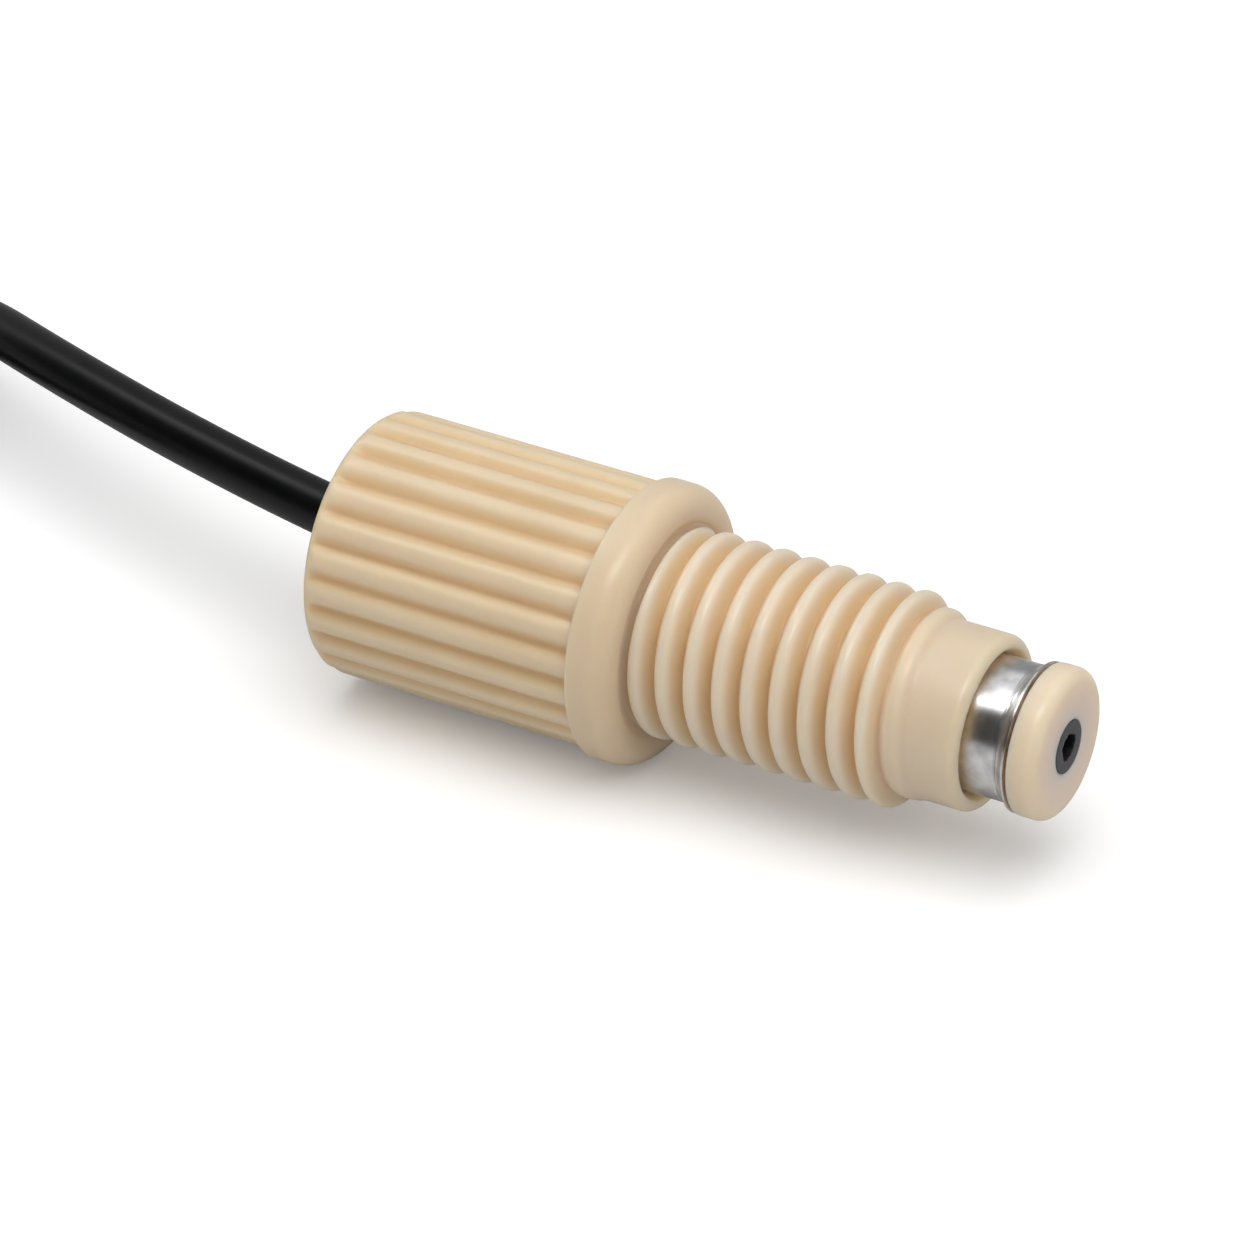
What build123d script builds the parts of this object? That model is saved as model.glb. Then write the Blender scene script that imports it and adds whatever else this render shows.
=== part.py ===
"""Fingertight column fitting on a capillary tube.

A moulded nut with a fluted grip, a collar and a 1/4-28 shank turns freely on a 1/16 inch
tube. A steel lock ring sits in the nut's nose, round the tail of a ferrule whose flat face
seals against the port. The tube ends flush with that face, leaves the nut's back in a gentle
curve and lies in a loose coil.

+X runs along the nut towards the sealing face, +Z is up and Z = 0 is the surface it lies on.
"""
from build123d import *
from math import pi, radians, tan
import os

# --- Driving dimensions, in mm -------------------------------------------------------------

# Nut, outside
nut_rear_x = -11.35
grip_diameter = 7.95
grip_rear_chamfer = 0.35
grip_envelope_margin = 0.01
flute_count = 24
flute_depth = 0.30
flute_cut_radius = 0.40
flute_crest_round = 0.10
flute_clocking = 2.8
collar_diameter = 8.35
collar_rear_x = -2.45
collar_width = 1.30
collar_front_round = 0.70
collar_rear_chamfer = 0.08
collar_face_width = 0.025
collar_recess_depth = 0.35
neck_length = 0.15
thread_major_diameter = 6.20
thread_root_diameter = 5.15
thread_length = 8.55
thread_run_in = 0.25
nose_length = 1.90
nose_rim_round = 0.30
nose_face_width = 0.025
dish_depth = 0.25

# Nut, inside
bore_clearance = 0.05
ring_pocket_depth = 1.10
ring_pocket_clearance = 0.05
entry_length = 7.60
entry_mouth_diameter = 4.00
entry_mouth_chamfer = 0.12

# Lock ring
ring_diameter = 4.00
ring_length = 2.36
ring_seat_clearance = 0.02
ring_tail_clearance = 0.03
ring_lip_diameter = 4.40
ring_lip_width = 0.10
ring_flare_length = 0.16
ring_groove_depth = 0.05
ring_groove_width = 0.10
ring_groove_offset = 0.36
ring_edge_chamfer = 0.10

# Ferrule
ferrule_gap = 0.07
ferrule_disc_diameter = 4.45
ferrule_disc_width = 0.90
ferrule_front_round = 0.30
ferrule_rear_chamfer = 0.06
ferrule_tail_diameter = 3.00
ferrule_tail_length = 2.30
ferrule_tail_chamfer = 0.30
ferrule_grip_clearance = 0.01

# Tube
tube_diameter = 1.5875
tube_bore_diameter = 0.79
tube_held_rear_x = -5.50
arc_share = 0.45

# Coil of the tube's spare length, lying flat
coil_centre = (-36.9, -0.72)
coil_start_radius = 9.55
coil_turns = 1.95
coil_turn_spacing = 1.64

# --- Places that follow from them ----------------------------------------------------------

collar_radius = collar_diameter / 2
axis_height = collar_radius
collar_front_x = collar_rear_x + collar_width
collar_recess_radius = collar_radius - collar_front_round - collar_face_width
collar_recess_x = collar_front_x - collar_recess_depth
thread_start_x = collar_recess_x + neck_length
thread_end_x = thread_start_x + thread_length
thread_major_radius = thread_major_diameter / 2
nose_radius = thread_root_diameter / 2
thread_depth = thread_major_radius - nose_radius
nose_front_x = thread_end_x + nose_length
dish_radius = nose_radius - nose_rim_round - nose_face_width

grip_radius = grip_diameter / 2
grip_envelope_radius = grip_radius + grip_envelope_margin
grip_length = collar_front_x - collar_front_round - nut_rear_x
flute_centre_radius = grip_radius - flute_depth + flute_cut_radius

tube_radius = tube_diameter / 2
tube_bore_radius = tube_bore_diameter / 2
bore_radius = tube_radius + bore_clearance
entry_mouth_radius = entry_mouth_diameter / 2

ring_radius = ring_diameter / 2
ring_pocket_radius = ring_radius + ring_pocket_clearance
ring_pocket_x = nose_front_x - ring_pocket_depth
ring_rear_x = ring_pocket_x + ring_seat_clearance
ring_front_x = ring_rear_x + ring_length
ring_lip_x = ring_front_x - ring_lip_width
ring_lip_radius = ring_lip_diameter / 2
ring_groove_x = ring_front_x - ring_groove_offset

ferrule_tail_radius = ferrule_tail_diameter / 2
ferrule_bore_radius = tube_radius + ferrule_grip_clearance
ring_bore_radius = ferrule_tail_radius + ring_tail_clearance
ferrule_back_x = ring_front_x + ferrule_gap
ferrule_front_x = ferrule_back_x + ferrule_disc_width
ferrule_disc_radius = ferrule_disc_diameter / 2
ferrule_tail_x = ferrule_back_x - ferrule_tail_length

coil_outer_radius = coil_start_radius + tube_radius
coil_inner_radius = coil_start_radius - coil_turn_spacing * coil_turns - tube_radius

nut_axis = Axis((0, 0, axis_height), (1, 0, 0))
lengthwise = Plane(origin=(0, 0, axis_height), x_dir=(1, 0, 0), z_dir=(0, -1, 0))


def across(x):
    """The plane square to the nut's axis at x, with its own x along +Y and its y along +Z."""
    return Plane(origin=(x, 0, axis_height), x_dir=(0, 1, 0), z_dir=(1, 0, 0))


def corner(sketch, x, radius):
    """The corner of a lengthwise profile that lies at this place along and from the axis."""
    return sketch.vertices().sort_by_distance((x, radius, 0))[0]


# The route of the free tube: straight while the nut's bore holds it, then bending out through
# the nut's flared entry, down to the surface and on to the coil's first turn.
coil_entry = (coil_centre[0], coil_centre[1] + coil_start_radius, tube_radius)
tube_route = [
    (tube_held_rear_x, 0, axis_height),
    (-9.2, 0, axis_height),
    (-13.9, 0.87, 4.175),
    (-19.6, 2.37, 4.15),
    (-25.2, 4.36, 3.98),
    (-30.2, 7.01, 3.20),
    (-33.8, 8.40, 1.45),
    coil_entry,
]


def bend_radius(before, at, after):
    """The largest arc that this corner's two runs allow, with a straight left between arcs."""
    run_in = Vector(*at) - Vector(*before)
    run_out = Vector(*after) - Vector(*at)
    half_turn = radians(run_in.get_angle(run_out)) / 2
    return arc_share * min(run_in.length, run_out.length) / tan(half_turn)


route_corners = zip(tube_route, tube_route[1:], tube_route[2:])
bend_radii = [bend_radius(*three_points) for three_points in route_corners]

os.makedirs("parts", exist_ok=True)

# --- Nut -----------------------------------------------------------------------------------

with BuildPart() as nut:
    # Fluted grip: a round bar with rounded grooves along it, their crests eased.
    with BuildSketch(across(nut_rear_x)) as grip_section:
        Circle(grip_radius)
        with PolarLocations(flute_centre_radius, flute_count, start_angle=flute_clocking):
            Circle(flute_cut_radius, mode=Mode.SUBTRACT)
        fillet(grip_section.vertices(), flute_crest_round)
    extrude(amount=grip_length)

    # The grip's back edge is bevelled, so the flutes run out into it.
    with BuildSketch(lengthwise) as grip_envelope:
        with BuildLine():
            Polyline(
                (nut_rear_x + grip_length, 0),
                (nut_rear_x, 0),
                (nut_rear_x, grip_envelope_radius),
                (nut_rear_x + grip_length, grip_envelope_radius),
                close=True,
            )
        make_face()
        chamfer(corner(grip_envelope, nut_rear_x, grip_envelope_radius), grip_rear_chamfer)
    revolve(axis=nut_axis, mode=Mode.INTERSECT)

    # Collar with a recess in its front face, shank at the thread's major diameter and plain
    # dished nose.
    with BuildSketch(lengthwise) as front_profile:
        with BuildLine():
            Polyline(
                (collar_rear_x, 0),
                (collar_rear_x, collar_radius),
                (collar_front_x, collar_radius),
                (collar_front_x, collar_recess_radius),
                (collar_recess_x, nose_radius),
                (thread_start_x, nose_radius),
                (thread_start_x + thread_run_in, thread_major_radius),
                (thread_end_x - thread_depth, thread_major_radius),
                (thread_end_x, nose_radius),
                (nose_front_x, nose_radius),
                (nose_front_x, dish_radius),
                (nose_front_x - dish_depth, ring_pocket_radius),
                (nose_front_x - dish_depth, 0),
                close=True,
            )
        make_face()
        chamfer(corner(front_profile, collar_rear_x, collar_radius), collar_rear_chamfer)
        fillet(corner(front_profile, collar_front_x, collar_radius), collar_front_round)
        fillet(corner(front_profile, nose_front_x, nose_radius), nose_rim_round)
    revolve(axis=nut_axis)

    # Bore for the tube, opened out in the nose to take the lock ring.
    with Locations(across(nose_front_x)):
        CounterBoreHole(
            radius=bore_radius,
            counter_bore_radius=ring_pocket_radius,
            counter_bore_depth=ring_pocket_depth,
        )

    # Flared entry at the back, wide enough for the tube to bend before it leaves the nut.
    with BuildSketch(lengthwise):
        with BuildLine():
            Polyline(
                (nut_rear_x, 0),
                (nut_rear_x, entry_mouth_radius),
                (nut_rear_x + entry_length, bore_radius),
                (nut_rear_x + entry_length, 0),
                close=True,
            )
        make_face()
    revolve(axis=nut_axis, mode=Mode.SUBTRACT)
    entry_mouth = nut.edges().filter_by(GeomType.CIRCLE).group_by(Axis.X)[0].sort_by(SortBy.RADIUS)[0]
    chamfer(entry_mouth, entry_mouth_chamfer)

# --- Lock ring -----------------------------------------------------------------------------

with BuildPart() as lock_ring:
    # A turned sleeve with a fine groove, flaring to a thin lip behind the ferrule's disc.
    with BuildSketch(lengthwise):
        with BuildLine():
            Polyline(
                (ring_rear_x, ring_bore_radius),
                (ring_rear_x, ring_radius - ring_edge_chamfer),
                (ring_rear_x + ring_edge_chamfer, ring_radius),
                (ring_groove_x - ring_groove_width / 2, ring_radius),
                (ring_groove_x, ring_radius - ring_groove_depth),
                (ring_groove_x + ring_groove_width / 2, ring_radius),
                (ring_lip_x - ring_flare_length, ring_radius),
                (ring_lip_x, ring_lip_radius),
                (ring_front_x, ring_lip_radius),
                (ring_front_x, ring_bore_radius),
                close=True,
            )
        make_face()
    revolve(axis=nut_axis)

# --- Ferrule -------------------------------------------------------------------------------

with BuildPart() as ferrule:
    # A flat sealing disc with an eased edge, and a tail that goes through the lock ring.
    with BuildSketch(lengthwise) as ferrule_profile:
        with BuildLine():
            Polyline(
                (ferrule_tail_x, 0),
                (ferrule_tail_x, ferrule_tail_radius - ferrule_tail_chamfer),
                (ferrule_tail_x + ferrule_tail_chamfer, ferrule_tail_radius),
                (ferrule_back_x, ferrule_tail_radius),
                (ferrule_back_x, ferrule_disc_radius),
                (ferrule_front_x, ferrule_disc_radius),
                (ferrule_front_x, 0),
                close=True,
            )
        make_face()
        chamfer(corner(ferrule_profile, ferrule_back_x, ferrule_disc_radius), ferrule_rear_chamfer)
        fillet(corner(ferrule_profile, ferrule_front_x, ferrule_disc_radius), ferrule_front_round)
    revolve(axis=nut_axis)
    with Locations(across(ferrule_front_x)):
        Hole(radius=ferrule_bore_radius)

# --- Tube ----------------------------------------------------------------------------------

with BuildPart() as tube_held:
    # The straight stretch that the nut and ferrule hold, cut flush with the sealing face.
    with BuildSketch(across(tube_held_rear_x)):
        Circle(tube_radius)
        Circle(tube_bore_radius, mode=Mode.SUBTRACT)
    extrude(amount=ferrule_front_x - tube_held_rear_x)

with BuildPart() as tube_run:
    # The free stretch: straight runs joined by arcs as large as the runs allow.
    with BuildLine() as run_path:
        FilletPolyline(*tube_route, radius=bend_radii)
    with BuildSketch(Plane(origin=run_path.line @ 0, z_dir=run_path.line % 0)):
        Circle(tube_radius)
    sweep()

with BuildPart() as tube_coil:
    # The outer shape of the flat coil: a ring as high as the tube and as wide as its turns.
    with BuildSketch(Plane(origin=(*coil_centre, 0), x_dir=(1, 0, 0), z_dir=(0, -1, 0))):
        with Locations(((coil_inner_radius + coil_outer_radius) / 2, tube_radius)):
            Rectangle(coil_outer_radius - coil_inner_radius, tube_diameter)
    revolve(axis=Axis((*coil_centre, 0), (0, 0, 1)))

# --- Export --------------------------------------------------------------------------------

nut.part.label = "nut"
lock_ring.part.label = "lock_ring"
ferrule.part.label = "ferrule"
tube_held.part.label = "tube_held"
tube_run.part.label = "tube_run"
tube_coil.part.label = "tube_coil"

export_step(nut.part, "parts/nut.step")
export_step(lock_ring.part, "parts/lock_ring.step")
export_step(ferrule.part, "parts/ferrule.step")
export_step(tube_held.part, "parts/tube_held.step")
export_step(tube_run.part, "parts/tube_run.step")
export_step(tube_coil.part, "parts/tube_coil.step")

# --- Lengths, for checking -----------------------------------------------------------------

coil_length = 2 * pi * (coil_start_radius - coil_turn_spacing * coil_turns / 2) * coil_turns
run_length = run_path.wires()[0].length
held_length = ferrule_front_x - tube_held_rear_x
section_area = pi * tube_radius**2
print("bend radii", [round(radius, 1) for radius in bend_radii])
print("run volume", round(tube_run.part.volume, 3), "section x length", round(section_area * run_length, 3))
print("lengths: held", round(held_length, 2), "run", round(run_length, 2), "coil", round(coil_length, 2))
print("whole tube", round(held_length + run_length + coil_length, 1))
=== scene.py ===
"""Fingertight column fitting: the finished look of each piece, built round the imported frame.

Everything is in metres in the frame's own axes: +X along the nut towards the sealing face,
+Z up, and the surface that the fitting lies on at Z = 0.
"""

import math

import bmesh
import bpy
import numpy as np
from mathutils import Matrix, Vector


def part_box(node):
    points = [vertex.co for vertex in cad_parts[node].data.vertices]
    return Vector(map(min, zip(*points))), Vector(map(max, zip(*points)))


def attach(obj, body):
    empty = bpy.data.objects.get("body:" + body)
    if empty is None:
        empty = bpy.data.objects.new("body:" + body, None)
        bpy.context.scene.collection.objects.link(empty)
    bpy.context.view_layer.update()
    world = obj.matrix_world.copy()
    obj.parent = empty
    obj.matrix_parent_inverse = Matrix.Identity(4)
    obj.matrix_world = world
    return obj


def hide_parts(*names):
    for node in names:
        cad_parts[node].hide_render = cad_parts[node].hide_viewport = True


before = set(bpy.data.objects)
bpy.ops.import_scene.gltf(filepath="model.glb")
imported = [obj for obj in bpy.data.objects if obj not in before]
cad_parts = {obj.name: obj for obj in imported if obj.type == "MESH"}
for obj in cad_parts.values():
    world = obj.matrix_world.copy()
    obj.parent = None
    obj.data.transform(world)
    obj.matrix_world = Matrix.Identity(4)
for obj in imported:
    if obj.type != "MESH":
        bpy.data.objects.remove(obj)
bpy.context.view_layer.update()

# --- Camera --------------------------------------------------------------------------------
# A long lens a little above the fitting and off to the side of its nose, so the sealing face
# and the whole length of the nut are both seen.
view_azimuth = math.radians(29.5)
view_elevation = math.radians(31.8)
view_distance = 0.1977
looked_at = Vector((-0.00165, -0.00191, 0.00515))

towards_camera = Vector((
    math.sin(view_azimuth) * math.cos(view_elevation),
    -math.cos(view_azimuth) * math.cos(view_elevation),
    math.sin(view_elevation),
))
camera_right = Vector((math.cos(view_azimuth), math.sin(view_azimuth), 0))
camera_up = towards_camera.cross(camera_right)
camera_place = looked_at + view_distance * towards_camera
camera_data = bpy.data.cameras.new("camera")
camera_data.lens = 201
camera_data.sensor_width = 36
camera_data.clip_start = 0.01
camera = bpy.data.objects.new("camera", camera_data)
camera.matrix_world = Matrix((
    (camera_right.x, camera_up.x, towards_camera.x, camera_place.x),
    (camera_right.y, camera_up.y, towards_camera.y, camera_place.y),
    (camera_right.z, camera_up.z, towards_camera.z, camera_place.z),
    (0, 0, 0, 1),
))
bpy.context.scene.collection.objects.link(camera)
bpy.context.scene.camera = camera

# --- Capillary tube, free length -----------------------------------------------------------
# Extruded black polymer tube, 1/16 inch outside with a fine bore, cut square at both ends.
# It leaves the nut's back in a gentle bend, comes down to the surface and lies in a coil.
axis_height = 0.004175
tube_radius = 0.00079375
tube_bore_radius = 0.000395
tube_held_rear = -0.0055
coil_centre = (-0.0369, -0.00072)
coil_start_radius = 0.00955
coil_turns = 1.95
coil_turn_spacing = 0.00164
coil_points_per_turn = 20

tube_route = [
    (tube_held_rear, 0, axis_height),
    (-0.0092, 0, axis_height),
    (-0.0139, 0.00087, axis_height),
    (-0.0196, 0.00237, 0.00415),
    (-0.0252, 0.00436, 0.00398),
    (-0.0302, 0.00701, 0.00320),
    (-0.0338, 0.00840, 0.00145),
    (coil_centre[0], coil_centre[1] + coil_start_radius, tube_radius),
]
for point in range(1, round(coil_turns * coil_points_per_turn) + 1):
    turns_done = point / coil_points_per_turn
    coil_angle = math.pi / 2 + 2 * math.pi * turns_done
    coil_radius = coil_start_radius - coil_turn_spacing * turns_done
    tube_route.append((
        coil_centre[0] + coil_radius * math.cos(coil_angle),
        coil_centre[1] + coil_radius * math.sin(coil_angle),
        tube_radius,
    ))


def points_of(mesh):
    """The mesh's points, as rows of x, y and z."""
    points = np.empty(3 * len(mesh.vertices))
    mesh.vertices.foreach_get("co", points)
    return points.reshape(-1, 3)


def smooth_line(name, route, steps):
    """The points of a quadratic NURBS curve that has the route's points as control points."""
    curve = bpy.data.curves.new(name, "CURVE")
    curve.dimensions = "3D"
    curve.resolution_u = steps
    spline = curve.splines.new("NURBS")
    spline.points.add(len(route) - 1)
    for control, place in zip(spline.points, route):
        control.co = (*place, 1)
    spline.order_u = 3
    spline.use_endpoint_u = True
    carrier = bpy.data.objects.new(name, curve)
    line_mesh = bpy.data.meshes.new_from_object(carrier)
    line = points_of(line_mesh)
    bpy.data.meshes.remove(line_mesh)
    bpy.data.objects.remove(carrier)
    bpy.data.curves.remove(curve)
    return line


def closed_grid(name, points):
    """A mesh of quads over points[row, column], joined round both ways like a ring's skin."""
    rows, columns = points.shape[:2]
    index = np.arange(rows * columns).reshape(rows, columns)
    next_row = np.roll(index, -1, axis=0)
    corners = np.stack([index, np.roll(index, -1, 1), np.roll(next_row, -1, 1), next_row], -1)
    mesh = bpy.data.meshes.new(name)
    mesh.from_pydata(points.reshape(-1, 3), [], corners.reshape(-1, 4))
    mesh.polygons.foreach_set("use_smooth", np.ones(rows * columns, bool))
    mesh.update()
    piece = bpy.data.objects.new(name, mesh)
    bpy.context.scene.collection.objects.link(piece)
    return piece


def face_outwards(piece):
    """Turns every face of a closed skin to point out of it."""
    skin = bmesh.new()
    skin.from_mesh(piece.data)
    bmesh.ops.recalc_face_normals(skin, faces=skin.faces)
    skin.to_mesh(piece.data)
    skin.free()


def hollow_tube(name, line, outer, inner, columns):
    """A tube along a line of points: at each point two circles lie square to the line.

    The skin runs along the outer wall, over the far cut, back along the bore and over the
    near cut. Each ring's sideways direction is the last one's with its part along the line
    taken out, so the rings don't twist. Each cut has a small easing at its edges.
    """
    along = np.gradient(line, axis=0)
    along /= np.linalg.norm(along, axis=1)[:, None]
    side = np.empty_like(line)
    side[0] = np.cross(along[0], (0, 0, 1))
    for at in range(1, len(line)):
        side[at] = side[at - 1] - along[at] * (side[at - 1] @ along[at])
        side[at] /= np.linalg.norm(side[at])
    over = np.cross(along, side)
    easing = 0.06 * (outer - inner)
    rings = np.r_[
        [(0, outer - easing, 0), (0, outer, easing)],
        [(at, outer, 0) for at in range(1, len(line) - 1)],
        [(len(line) - 1, outer, -easing), (len(line) - 1, outer - easing, 0)],
        [(len(line) - 1, inner + easing, 0), (len(line) - 1, inner, -easing)],
        [(at, inner, 0) for at in range(len(line) - 2, 0, -1)],
        [(0, inner, easing), (0, inner + easing, 0)],
    ]
    at = rings[:, 0].astype(int)
    turn = np.linspace(0, 2 * math.pi, columns, endpoint=False)[None, :, None]
    centre = line[at] + along[at] * rings[:, 2:3]
    ring_radius = rings[:, 1][:, None, None]
    around = np.cos(turn) * side[at][:, None] + np.sin(turn) * over[at][:, None]
    return closed_grid(name, centre[:, None] + ring_radius * around)


tube_line = smooth_line("tube_line", tube_route, steps=10)
tube = hollow_tube("tube", tube_line, tube_radius, tube_bore_radius, columns=40)
face_outwards(tube)


def new_material(name):
    """A new material and its shader, at the material's usual settings."""
    material = bpy.data.materials.new(name)
    material.use_nodes = True
    return material, material.node_tree.nodes["Principled BSDF"]


def place_in(material):
    """Each point's place in the piece's own frame, as a socket of the material."""
    return material.node_tree.nodes.new("ShaderNodeTexCoord").outputs["Object"]


def noise(place, scale, detail):
    """A noise pattern over the socket place, from 0 to 1."""
    tree = place.id_data
    pattern = tree.nodes.new("ShaderNodeTexNoise")
    pattern.inputs["Scale"].default_value = scale
    pattern.inputs["Detail"].default_value = detail
    tree.links.new(place, pattern.inputs["Vector"])
    return pattern.outputs["Fac"]


def toned(value, low, high, *between):
    """A colour ramp over the socket value, with low and high as its outer stops.

    Each stop is a position and a colour.
    """
    tree = value.id_data
    ramp = tree.nodes.new("ShaderNodeValToRGB")
    stops = ramp.color_ramp.elements
    for stop, (position, colour) in zip(stops, (low, high)):
        stop.position = position
        stop.color = (*colour, 1)
    for position, colour in between:
        stops.new(position).color = (*colour, 1)
    tree.links.new(value, ramp.inputs["Fac"])
    return ramp.outputs["Color"]


def ranged(value, low, high, value_low=0, value_high=1):
    """Takes the socket value from its own range, 0 to 1 unless given, to low and high."""
    tree = value.id_data
    spread = tree.nodes.new("ShaderNodeMapRange")
    spread.inputs["From Min"].default_value = value_low
    spread.inputs["From Max"].default_value = value_high
    spread.inputs["To Min"].default_value = low
    spread.inputs["To Max"].default_value = high
    tree.links.new(value, spread.inputs["Value"])
    return spread.outputs["Result"]


def feed(shader, sockets):
    """Links each named socket to the shader's input of that name."""
    for name, socket in sockets.items():
        shader.id_data.links.new(socket, shader.inputs[name])


# Satin black polymer: near black, with a faint clouding of its tone and its gloss.
black_polymer, shader = new_material("black_polymer")
shader.inputs["IOR"].default_value = 1.30
cloud = noise(place_in(black_polymer), scale=900, detail=4)
tone = toned(cloud, (0.3, (0.0012, 0.0012, 0.0014)), (0.7, (0.0020, 0.0020, 0.0023)))
feed(shader, {"Base Color": tone, "Roughness": ranged(cloud, 0.30, 0.42)})
tube.data.materials.append(black_polymer)

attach(tube, "tube")
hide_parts("tube_run", "tube_coil")

# --- Capillary tube, held length -----------------------------------------------------------
# The same tube where the nut and the ferrule hold it straight, cut flush with the sealing
# face. The cut is duller and greyer than the drawn wall, and the bore is slightly ragged.
sealing_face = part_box("ferrule")[1][0]


def turned(name, outline, columns, shape=None):
    """A turned piece: a closed outline of (x, radius) carried round the nut's axis.

    shape(x, turn, radius) may move the surface in or out at each place.
    """
    outline = np.asarray(outline, float)
    turn = np.linspace(0, 2 * math.pi, columns, endpoint=False)[None, :]
    x = np.repeat(outline[:, :1], columns, axis=1)
    radius = np.repeat(outline[:, 1:], columns, axis=1)
    if shape:
        radius = shape(x, turn, radius)
    y = radius * np.cos(turn)
    z = axis_height + radius * np.sin(turn)
    return closed_grid(name, np.stack([x, y, z], -1))


def rounded(corners, steps=6):
    """An outline through (x, radius, rounding) corners, each one eased by an arc.

    A corner's arc touches its two sides at rounding times the tangent of half the turn from
    the corner. Its points are spaced evenly round the arc. A corner with no rounding stays.
    """
    outline = []
    count = len(corners)
    for at in range(count):
        here = np.array(corners[at][:2])
        back = np.array(corners[at - 1][:2]) - here
        ahead = np.array(corners[(at + 1) % count][:2]) - here
        back /= np.linalg.norm(back)
        ahead /= np.linalg.norm(ahead)
        if corners[at][2] == 0:
            outline.append(here)
            continue
        half_opening = math.acos(np.clip(back @ ahead, -1, 1)) / 2
        middle = (back + ahead) / np.linalg.norm(back + ahead)
        centre = here + middle * corners[at][2] / math.sin(half_opening)
        start = here + back * corners[at][2] / math.tan(half_opening) - centre
        end = here + ahead * corners[at][2] / math.tan(half_opening) - centre
        swing = math.acos(np.clip(start @ end / corners[at][2] ** 2, -1, 1))
        for step in np.linspace(0, 1, steps):
            share = np.sin([(1 - step) * swing, step * swing]) / math.sin(swing)
            outline.append(centre + share[0] * start + share[1] * end)
    return outline


def bore_edge(x, turn, radius):
    """Lets the bore's mouth wander in and out near the cut, and leaves the outer wall alone.

    The wander is a sum of three sines round the bore. It falls off with the distance from the
    cut as exp(-(distance / reach)^2).
    """
    wander = 0.00005
    reach = 0.0003
    ragged = 0.4 * np.sin(3 * turn + 1) + 0.35 * np.sin(5 * turn) + 0.25 * np.sin(11 * turn + 2)
    near_cut = np.exp(-((sealing_face - x) / reach) ** 2)
    return radius + wander * ragged * near_cut * (radius < (tube_radius + tube_bore_radius) / 2)


cut_easing = 0.00002
held_tube = turned(
    "held_tube",
    rounded([
        (tube_held_rear, tube_radius, cut_easing),
        (sealing_face - 0.0004, tube_radius, 0),
        (sealing_face, tube_radius, cut_easing),
        (sealing_face, tube_bore_radius, cut_easing),
        (sealing_face - 0.0002, tube_bore_radius, 0),
        (sealing_face - 0.0008, tube_bore_radius, 0),
        (tube_held_rear, tube_bore_radius, cut_easing),
    ]),
    columns=96,
    shape=bore_edge,
)
face_outwards(held_tube)

# Black on the wall and a grained dark grey on the cut, with the change between them in the
# easing of the edge.
cut_polymer, shader = new_material("cut_polymer")
shader.inputs["Roughness"].default_value = 0.5
nodes = cut_polymer.node_tree.nodes
links = cut_polymer.node_tree.links
place = place_in(cut_polymer)
grain = noise(place, scale=9000, detail=3)
split = nodes.new("ShaderNodeSeparateXYZ")
links.new(place, split.inputs["Vector"])
on_cut = ranged(split.outputs["X"], 0, 1, sealing_face - 0.00004, sealing_face - 0.00001)
wall_or_cut = nodes.new("ShaderNodeMix")
wall_or_cut.data_type = "RGBA"
wall_or_cut.inputs["A"].default_value = (0.006, 0.006, 0.007, 1)
links.new(on_cut, wall_or_cut.inputs["Factor"])
cut_tone = toned(grain, (0, (0.030, 0.031, 0.034)), (1, (0.050, 0.052, 0.056)))
links.new(cut_tone, wall_or_cut.inputs["B"])
feed(shader, {"Base Color": wall_or_cut.outputs["Result"]})
held_tube.data.materials.append(cut_polymer)

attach(held_tube, "tube")
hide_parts("tube_held")

# --- Ferrule -------------------------------------------------------------------------------
# One turned piece of natural PEEK: a flat sealing disc with a soft front edge, and a tail
# that the lock ring closes on to the tube.
ferrule_low, ferrule_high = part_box("ferrule")
disc_radius = (ferrule_high[2] - ferrule_low[2]) / 2
disc_width = 0.0009
disc_back = sealing_face - disc_width
tail_radius = 0.0015
ferrule_bore = tube_radius + 0.00001

ferrule = turned(
    "ferrule_disc",
    rounded([
        (ferrule_low[0], ferrule_bore, 0.00004),
        (ferrule_low[0], tail_radius - 0.0003, 0.00006),
        (ferrule_low[0] + 0.0003, tail_radius, 0.00006),
        (disc_back, tail_radius, 0.00005),
        (disc_back, disc_radius, 0.00012),
        (disc_back + 0.0004, disc_radius, 0),
        (sealing_face, disc_radius, 0.00038),
        (sealing_face, disc_radius - 0.0008, 0),
        (sealing_face, ferrule_bore, 0.00003),
    ], steps=9),
    columns=160,
)
face_outwards(ferrule)


def bumped(height, strength, distance):
    """The surface's normal, tipped as if the socket height raised it."""
    tree = height.id_data
    bump = tree.nodes.new("ShaderNodeBump")
    bump.inputs["Strength"].default_value = strength
    bump.inputs["Distance"].default_value = distance
    tree.links.new(height, bump.inputs["Height"])
    return bump.outputs["Normal"]


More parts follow.
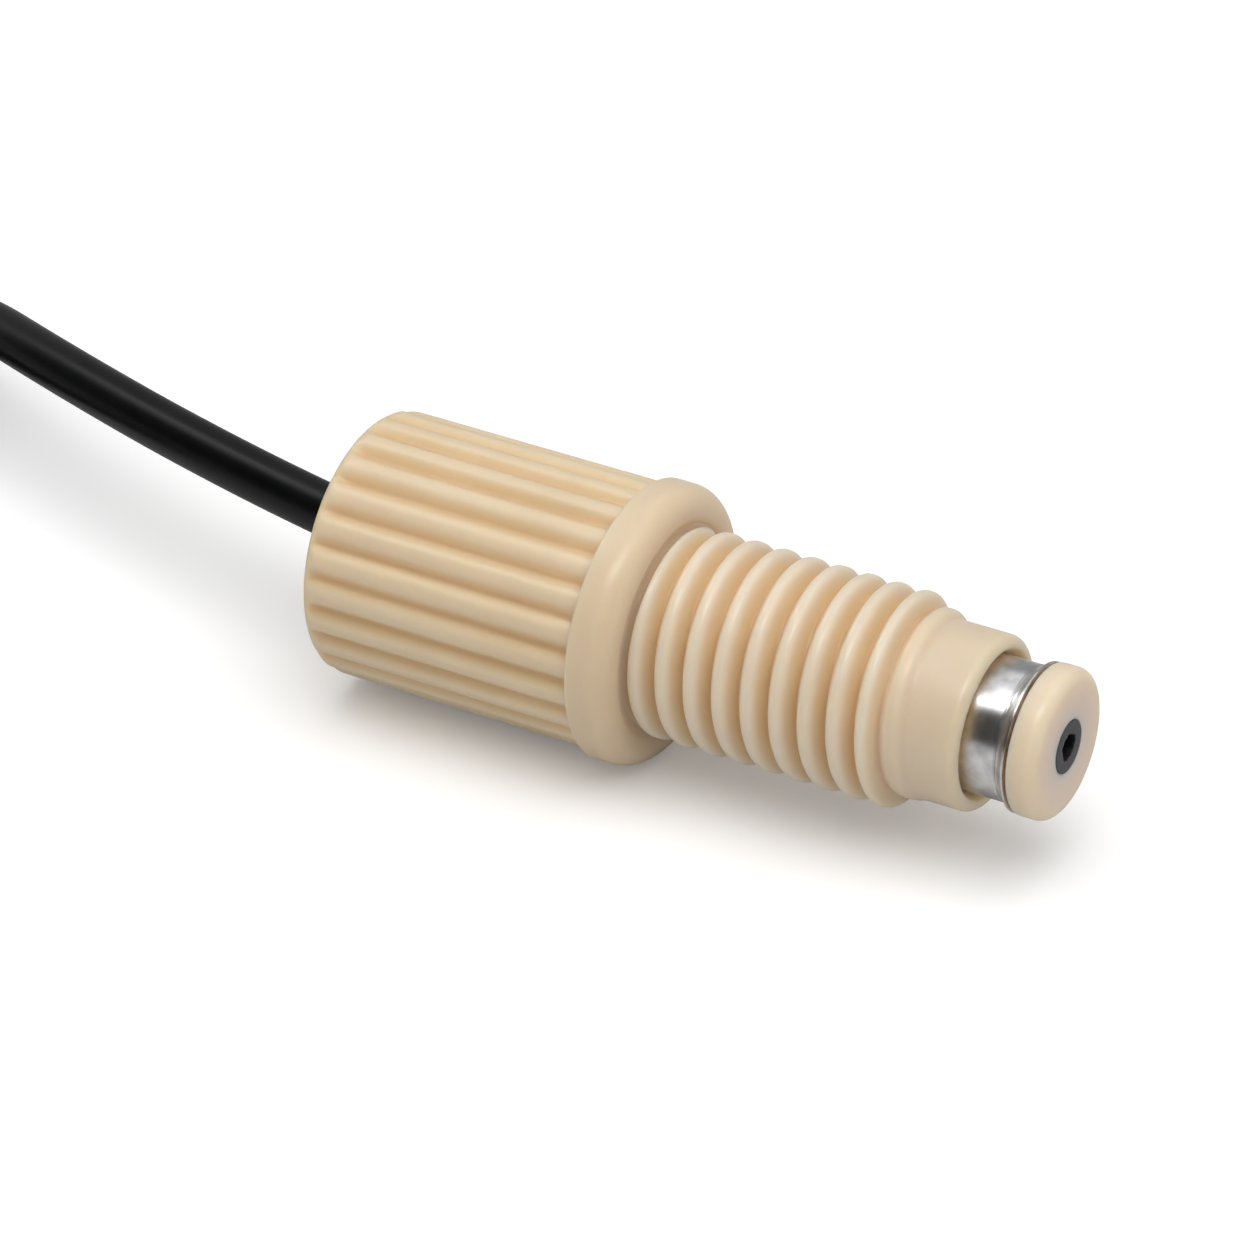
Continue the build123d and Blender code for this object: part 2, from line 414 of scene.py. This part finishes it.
def natural_peek(name, crest, plain, deep):
    """Moulded or turned natural PEEK: a warm beige that lets light well in.

    The colour follows the piece's own "depth" attribute: a paler painted sheen (crest) at 0,
    plain at 0.3 and a browner painted shade (deep) at 1. Soft clouding varies it, and fine
    surface grain is a shallow bump.
    """
    material, shader = new_material(name)
    shader.inputs["IOR"].default_value = 1.5
    shader.inputs["Subsurface Weight"].default_value = 1
    shader.inputs["Subsurface Radius"].default_value = (1.0, 0.8, 0.5)
    shader.inputs["Subsurface Scale"].default_value = 0.0008
    nodes = material.node_tree.nodes
    links = material.node_tree.links
    place = place_in(material)
    depth = nodes.new("ShaderNodeAttribute")
    depth.attribute_name = "depth"
    # Painted light and shade: a paler painted sheen on crests, a browner painted shade in
    # hollows.
    painted_shading_tone = toned(depth.outputs["Fac"], (0, crest), (1, deep), (0.3, plain))
    cloud = noise(place, scale=260, detail=3)
    cloud_tone = toned(cloud, (0.3, (0.94, 0.93, 0.91)), (0.7, (1, 1, 1)))
    clouded = nodes.new("ShaderNodeMix")
    clouded.data_type = "RGBA"
    clouded.blend_type = "MULTIPLY"
    clouded.inputs["Factor"].default_value = 1
    links.new(painted_shading_tone, clouded.inputs["A"])
    links.new(cloud_tone, clouded.inputs["B"])
    grain = noise(place, scale=5200, detail=2)
    feed(shader, {
        "Base Color": clouded.outputs["Result"],
        "Roughness": ranged(cloud, 0.27, 0.38),
        "Normal": bumped(grain, strength=0.12, distance=0.00001),
    })
    return material


def set_painted_shading(piece, painted_shading_at):
    """Stores each point's painted light and shade: 0 for painted sheen on a crest, 0.3 where it
    is plain, 1 for painted shade in the hollows.

    It is given by the function passed in, from a point's x and its distance from the nut's
    axis.
    """
    points = points_of(piece.data)
    from_axis = np.hypot(points[:, 1], points[:, 2] - axis_height)
    attribute = piece.data.attributes.new("depth", "FLOAT", "POINT")
    attribute.data.foreach_set("value", painted_shading_at(points[:, 0], from_axis))


def climb(value, start, length):
    """0 up to start, 1 from length beyond it, and straight between the two."""
    return np.clip((value - start) / length, 0, 1)


def ferrule_painted_shading(x, from_axis):
    """Plain all over, with painted shade on the sealing face, greyer from its edge in towards
    the tube.
    """
    on_face = x > sealing_face - 0.00012
    return 0.3 + 0.7 * (1 - climb(from_axis, disc_radius - 0.0012, 0.0010)) * on_face


# Painted shade on the sealing face: its colour greys from the edge in towards the tube.
set_painted_shading(ferrule, ferrule_painted_shading)
ferrule.data.materials.append(natural_peek(
    "ferrule_peek",
    crest=(0.93, 0.76, 0.60),
    plain=(0.93, 0.75, 0.57),
    deep=(0.87, 0.71, 0.60),
))

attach(ferrule, "tube")
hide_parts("ferrule")

# --- Lock ring -----------------------------------------------------------------------------
# A turned stainless sleeve, brushed round its girth, with a fine groove behind a thin lip
# that flares out against the back of the ferrule's disc.
ring_low, ring_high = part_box("lock_ring")
ring_rear = ring_low[0]
ring_front = ring_high[0]
ring_radius = 0.002
ring_lip_radius = (ring_high[2] - ring_low[2]) / 2
ring_bore = tail_radius + 0.00003

lock_ring = turned(
    "steel_ring",
    rounded([
        (ring_rear, ring_bore, 0.00003),
        (ring_rear, ring_radius - 0.0001, 0.00003),
        (ring_rear + 0.0001, ring_radius, 0.00003),
        (ring_front - 0.00041, ring_radius, 0.00001),
        (ring_front - 0.00037, ring_radius - 0.00004, 0.00001),
        (ring_front - 0.00033, ring_radius, 0.00001),
        (ring_front - 0.00024, ring_radius + 0.00001, 0.00025),
        (ring_front - 0.00006, ring_lip_radius, 0.00003),
        (ring_front, ring_lip_radius, 0.00002),
        (ring_front, ring_bore, 0.00003),
    ], steps=7),
    columns=192,
)
face_outwards(lock_ring)

# The brushing is a noise drawn out round the girth. It varies the gloss and is a fine bump,
# and soft blotches vary the tone.
brushed_steel, shader = new_material("brushed_steel")
shader.inputs["Metallic"].default_value = 1
shader.inputs["Anisotropic"].default_value = 0.8
shader.inputs["Anisotropic Rotation"].default_value = 0.25
nodes = brushed_steel.node_tree.nodes
girth = nodes.new("ShaderNodeTangent")
girth.direction_type = "RADIAL"
girth.axis = "X"
place = place_in(brushed_steel)
stretch = nodes.new("ShaderNodeMapping")
stretch.inputs["Scale"].default_value = (1, 0.06, 0.06)
brushed_steel.node_tree.links.new(place, stretch.inputs["Vector"])
brushing = noise(stretch.outputs["Vector"], scale=24000, detail=5)
blotches = noise(place, scale=1500, detail=5)
feed(shader, {
    "Base Color": toned(blotches, (0.3, (0.46, 0.46, 0.465)), (0.7, (0.86, 0.86, 0.87))),
    "Roughness": ranged(brushing, 0.26, 0.38),
    "Normal": bumped(brushing, strength=0.5, distance=0.000004),
    "Tangent": girth.outputs["Tangent"],
})
lock_ring.data.materials.append(brushed_steel)

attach(lock_ring, "ring")
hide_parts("lock_ring")

# --- Nut -----------------------------------------------------------------------------------
# One moulding of natural PEEK: a grip with straight rounded flutes, a soft collar with a recess
# in its face, a 1/4-28 right-hand thread with rounded crests, and a plain nose with a dished
# face.
nut_low, nut_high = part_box("nut")
grip_rear = nut_low[0]
nose_front = nut_high[0]
grip_radius = 0.003975
flute_count = 24
flute_depth = 0.00029
flute_clocking = math.radians(2.8)
flute_rise = 0.0007
flute_fall = 0.00022
collar_radius = (nut_high[2] - nut_low[2]) / 2
collar_rear = -0.00245
collar_front = -0.00115
thread_major = 0.0031
thread_root = 0.002575
thread_pitch = 0.0254 / 28
recess_floor = -0.00126
recess_edge_radius = 0.00328
thread_end = 0.0072
crest_place = -0.00026
crest_turn = math.radians(54.5)
ring_pocket_radius = ring_radius + 0.00002
ring_pocket_floor = ring_rear - 0.00002
nut_bore = tube_radius + 0.00005
entry_end = grip_rear + 0.0076
entry_mouth = 0.0020


def soft_min(a, b, blend):
    """The lesser of a and b, with the corner where they cross rounded over by blend."""
    return (a + b - np.sqrt((a - b) ** 2 + blend**2)) / 2


def thread_ridge(x, turn):
    """How high the thread stands, 0 in the root and 1 on the crest.

    The crest is at crest_place where turn is crest_turn and climbs one pitch towards the
    nose with each turn. Across one pitch the height is half of 1 + cos(pi u^1.55), where u
    goes from 0 on the crest to 1 in the root, which keeps the crest broad and the root tight.
    It is scaled by where its crest lies: it rises from nothing where the thread leaves the
    collar's recess, and drops to less than half on the last turn, which draws in towards the
    turn before it and dies out in the nose.
    """
    drawn_in = 0.00022 * climb(x, 0.0063, 0.0006)
    phase = (x + drawn_in - crest_place) / thread_pitch - (turn - crest_turn) / (2 * math.pi)
    off_crest = phase - np.round(phase)
    crest_x = x + drawn_in - off_crest * thread_pitch
    height = 0.5 + 0.5 * np.cos(math.pi * np.abs(2 * off_crest) ** 1.55)
    crest_stations = [-0.00134, -0.00118, 0.00660, 0.00699, 0.00715, 0.00740, 0.00760]
    crest_heights = [0, 1, 1, 0.42, 0.34, 0.22, 0]
    return height * np.interp(crest_x, crest_stations, crest_heights)


def flute_hollow(turn):
    """How deep the flutes are cut, 1 along their middles and about 0 on the crests.

    It falls off as exp(-(v / 0.46)^2), where v goes from 0 in the middle to 1 on the crest.
    """
    phase = (turn - flute_clocking) * flute_count / (2 * math.pi)
    off_middle = 2 * np.abs(phase - np.round(phase))
    return np.exp(-((off_middle / 0.46) ** 2))


def grip_back_edge(x):
    """The grip's outline near its back: a quarter round, then straight."""
    edge_round = 0.0005
    into = np.clip(x - grip_rear, 0, edge_round)
    return grip_radius - edge_round + np.sqrt(edge_round**2 - (edge_round - into) ** 2)


def nut_shape(x, turn, radius):
    """Adds the thread between the recess and the nose, and cuts the flutes into the grip.

    The thread stands on the rows that lie at the root, and comes up out of the recess's floor
    over a quarter of a millimetre. A flute starts with three tenths of its depth at the grip's
    back and has all of it flute_rise further on, along 3 v^2 - 2 v^3. In the last flute_fall
    before the collar it loses four fifths of it again.
    """
    on_root = (np.abs(radius - thread_root) < 0.000001) & (x < nose_front - 0.0008)
    rise = climb(x, recess_floor, 0.00025)
    ridge = thread_root + (thread_major - thread_root) * thread_ridge(x, turn) * rise
    radius = np.where(on_root, ridge, radius)

    on_grip = (x < collar_rear - 0.00002) & (radius > thread_root)
    run_in = climb(x, grip_rear, flute_rise)
    run_in = 0.3 + 0.7 * run_in * run_in * (3 - 2 * run_in)
    at_collar = climb(x, collar_rear - flute_fall, flute_fall) ** 2
    fluted = grip_radius - flute_depth * flute_hollow(turn) * run_in * (1 - 0.8 * at_collar)
    gripped = soft_min(fluted, grip_back_edge(x), 0.00006)
    return np.where(on_grip, np.minimum(radius, gripped + 0.00001), radius)


# Rows of points go from the nose back along the thread, round the collar and along the grip,
# closest together where the surface turns most.
rows_per_pitch = 18
thread_rows_start = nose_front - 0.0014
thread_rows_end = recess_floor + 0.0002
thread_rows = np.arange(thread_rows_start, thread_rows_end, -thread_pitch / rows_per_pitch)
from_collar = np.array([0.00003, 0.00007, 0.00012, 0.0002])
from_back = np.array([0.0006, 0.00045, 0.00033, 0.00023, 0.00015, 0.00009, 0.00004, 0.00001])
grip_rows = np.r_[
    collar_rear - from_collar,
    np.linspace(collar_rear - 0.0008, grip_rear + 0.0010, 8),
    grip_rear + from_back,
]
nut_front = rounded([
    (ring_pocket_floor, nut_bore, 0.00004),
    (ring_pocket_floor, ring_pocket_radius, 0.00004),
    (nose_front - 0.00036, ring_pocket_radius, 0.00005),
    (nose_front, ring_pocket_radius + 0.00022, 0.00014),
    (nose_front - 0.00010, thread_root, 0.00030),
    (nose_front - 0.0010, thread_root, 0),
    (thread_rows_start, thread_root, 0),
], steps=7)[:-1]
nut_collar = rounded([
    (recess_floor + 0.00018, thread_root, 0),
    (recess_floor + 0.00014, thread_root + 0.0001, 0.00006),
    (recess_floor, thread_root + 0.00036, 0.00010),
    (recess_floor + 0.00002, thread_major + 0.00002, 0.00010),
    (collar_front, recess_edge_radius, 0.00044),
    (collar_front, collar_radius, 0.00068),
    (collar_rear, collar_radius, 0.00010),
    (collar_rear, grip_radius + 0.00005, 0.00004),
    (collar_rear - 0.0002, grip_radius + 0.00005, 0),
], steps=12)[1:-1]
nut_back = rounded([
    (grip_rear, grip_radius - 0.0006, 0),
    (grip_rear, entry_mouth, 0.00012),
    (entry_end, nut_bore, 0.0004),
    (entry_end + 0.003, nut_bore, 0),
    (ring_pocket_floor - 0.0003, nut_bore, 0),
], steps=7)
nut_outline = np.vstack([
    nut_front,
    np.c_[thread_rows, np.full(len(thread_rows), thread_root)],
    nut_collar,
    np.c_[grip_rows, np.full(len(grip_rows), grip_radius)],
    nut_back,
])
nut = turned("moulded_nut", nut_outline, columns=288, shape=nut_shape)
face_outwards(nut)


def nut_painted_shading(x, from_axis):
    """The nut's painted sheen on thread crests, and painted shade in the thread, flutes, recess
    and nose.

    The front of the shank, where the thread has died out, is at 0.2, and the ring's pocket,
    with the inner edge of the rim round it, has deep painted shade.
    """
    in_thread = (1 - climb(from_axis, thread_root, thread_major - thread_root)) ** 1.3
    past_thread = climb(x, 0.0064, 0.0005)
    in_thread = in_thread * (1 - past_thread) + 0.2 * past_thread
    in_flute = 1 - climb(from_axis, grip_radius - flute_depth - 0.00003, flute_depth)
    in_recess = 1 - climb(from_axis, recess_edge_radius - 0.0003, 0.0003)
    in_recess = np.where(from_axis > thread_major + 0.00003, 0.3 + 0.7 * in_recess, in_thread)
    in_nose = climb(x, thread_end + 0.0016, 0.0002)
    in_nose *= 1 - climb(from_axis, ring_pocket_radius + 0.00012, 0.00014)
    return np.select(
        [x < collar_rear, x < collar_front + 0.00001, x < thread_end],
        [0.3 + 0.7 * in_flute, in_recess, in_thread],
        0.2 + 0.8 * in_nose,
    )


# The nut's colour carries painted light and shade: a paler painted sheen on the crests and a
# browner painted shade in the hollows.
set_painted_shading(nut, nut_painted_shading)
nut.data.materials.append(natural_peek(
    "nut_peek",
    crest=(0.85, 0.725, 0.585),
    plain=(0.81, 0.66, 0.475),
    deep=(0.83, 0.615, 0.32),
))

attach(nut, "nut")
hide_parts("nut")

# --- Floor, backdrop and light -------------------------------------------------------------
# A plain white surface under large soft lights. It takes the fitting's shadow and is as
# white as the backdrop where it isn't shaded.
floor_reach = 0.6
floor_mesh = bpy.data.meshes.new("floor")
floor_mesh.from_pydata(
    [
        (-floor_reach, -floor_reach, 0),
        (floor_reach, -floor_reach, 0),
        (floor_reach, floor_reach, 0),
        (-floor_reach, floor_reach, 0),
    ],
    [],
    [(0, 1, 2, 3)],
)
floor = bpy.data.objects.new("floor", floor_mesh)
bpy.context.scene.collection.objects.link(floor)

# The floor is whiter to the camera than to the light that it throws back at the fitting, and
# has a faint glow there, so that it meets the backdrop without an edge.
floor_paint, shader = new_material("floor_paint")
nodes = floor_paint.node_tree.nodes
links = floor_paint.node_tree.links
nodes.remove(shader)
paint = nodes.new("ShaderNodeBsdfDiffuse")
seen = nodes.new("ShaderNodeLightPath")
lifted = nodes.new("ShaderNodeEmission")
both = nodes.new("ShaderNodeAddShader")
links.new(ranged(seen.outputs["Is Camera Ray"], 0.66, 1.06), paint.inputs["Color"])
links.new(ranged(seen.outputs["Is Camera Ray"], 0, 0.13), lifted.inputs["Strength"])
links.new(paint.outputs["BSDF"], both.inputs[0])
links.new(lifted.outputs["Emission"], both.inputs[1])
links.new(both.outputs["Shader"], nodes["Material Output"].inputs["Surface"])
floor.data.materials.append(floor_paint)

# The room is white where it is seen, mirrored or seen through, and dimmer as a light.
world = bpy.data.worlds.new("white_room")
world.use_nodes = True
bpy.context.scene.world = world
nodes = world.node_tree.nodes
links = world.node_tree.links
sky = nodes["Background"]
sky.inputs["Color"].default_value = (1, 1, 1, 1)
ray = nodes.new("ShaderNodeLightPath")
seen = ray.outputs["Is Camera Ray"]
for other_ray in ("Is Glossy Ray", "Is Transmission Ray"):
    either = nodes.new("ShaderNodeMath")
    either.operation = "MAXIMUM"
    links.new(seen, either.inputs[0])
    links.new(ray.outputs[other_ray], either.inputs[1])
    seen = either.outputs["Value"]
links.new(ranged(seen, 0.42, 1), sky.inputs["Strength"])


def soft_light(name, place, length, width, power):
    """An area light at place that faces the fitting, with its length level."""
    lamp = bpy.data.lights.new(name, "AREA")
    lamp.shape = "RECTANGLE"
    lamp.size = length
    lamp.size_y = width
    lamp.energy = power
    holder = bpy.data.objects.new(name, lamp)
    holder.location = place
    holder.rotation_euler = (-Vector(place)).to_track_quat("-Z", "Y").to_euler()
    bpy.context.scene.collection.objects.link(holder)
    return holder


# The overhead lamp lights but isn't mirrored. The two strips are only mirrored: the front one
# draws thin bright lines along the collar's and the nose's edges and the thread's crests, and
# the left one draws the bright line along the tube.
overhead = soft_light("overhead", (0.045, -0.050, 0.30), length=0.36, width=0.36, power=0.72)
overhead.visible_glossy = False
front_strip = soft_light(
    "front_strip", (0.045, -0.11, 0.30), length=0.24, width=0.02, power=0.36
)
front_strip.visible_diffuse = False
left_strip = soft_light("left_strip", (-0.20, 0.02, 0.225), length=0.04, width=0.10, power=0.12)
left_strip.visible_diffuse = False


def mirrored_card(name, from_turn, to_turn, foot, height, brightness):
    """A card bent round the fitting that only mirrors see, card_radius from the middle.

    It goes from one turn about Z to another, in degrees with 0 at the front, and stands with
    its lower edge at foot.
    """
    card_radius = 0.06
    columns = 48
    turns = np.radians(np.linspace(from_turn, to_turn, columns))
    across = card_radius * np.sin(turns)
    ahead = card_radius * np.cos(turns)
    low = np.c_[across, -ahead, np.full(columns, foot)]
    at = np.arange(columns - 1)
    corners = np.c_[at, at + 1, at + columns + 1, at + columns]
    mesh = bpy.data.meshes.new(name)
    mesh.from_pydata(np.vstack([low, low + (0, 0, height)]), [], corners)
    card = bpy.data.objects.new(name, mesh)
    bpy.context.scene.collection.objects.link(card)
    paint, shader = new_material(name)
    shader.inputs["Base Color"].default_value = (0, 0, 0, 1)
    shader.inputs["Specular IOR Level"].default_value = 0
    shader.inputs["Emission Color"].default_value = (1, 1, 1, 1)
    shader.inputs["Emission Strength"].default_value = brightness
    mesh.materials.append(paint)
    card.visible_camera = False
    card.visible_diffuse = False
    card.visible_shadow = False
    card.visible_transmission = False


# A faintly glowing black card round the front and the sides and a glowing grey one behind,
# seen only in reflections: painted reflections, so that polished metal and the black tube
# have something dark to mirror.
mirrored_card(
    "black_card", from_turn=-98, to_turn=75, foot=0.004, height=0.082, brightness=0.045
)
mirrored_card(
    "grey_card", from_turn=110, to_turn=255, foot=0.0004, height=0.060, brightness=0.36
)

bpy.context.scene.view_settings.view_transform = "Standard"
